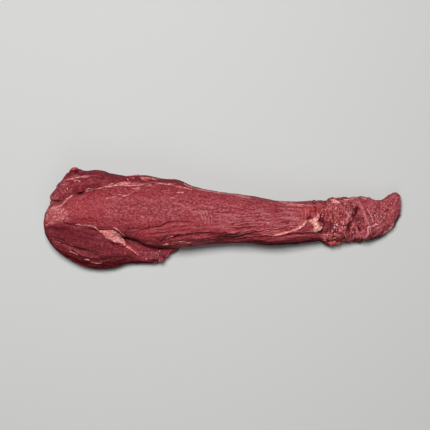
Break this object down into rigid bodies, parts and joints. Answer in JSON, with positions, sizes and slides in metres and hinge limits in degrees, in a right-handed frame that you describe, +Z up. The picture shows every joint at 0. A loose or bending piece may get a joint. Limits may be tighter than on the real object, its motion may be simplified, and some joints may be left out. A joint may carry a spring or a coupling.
{
  "type": "raw beef tenderloin",
  "caption": "Whole trimmed raw beef tenderloin: a thick butt with side strip and flap, a long body and a thin torn tail, lying flat.",
  "frame": {"origin": "under the middle of the piece, on the floor that it lies on", "axes": "+X towards the thin tail tip, +Y towards the thin side strip of the butt, +Z up"},
  "size_m": [0.52, 0.1482, 0.0625],
  "materials": {
    "meat": "raw lean beef, moist, deep red with fine grain along its length",
    "fat": "raw beef fat, cream pink, moist",
    "silverskin": "thin pale silverskin and torn membrane over the meat, moist"
  },
  "bodies": {
    "root": {"tenderloin": "meat"}
  },
  "joints": []
}
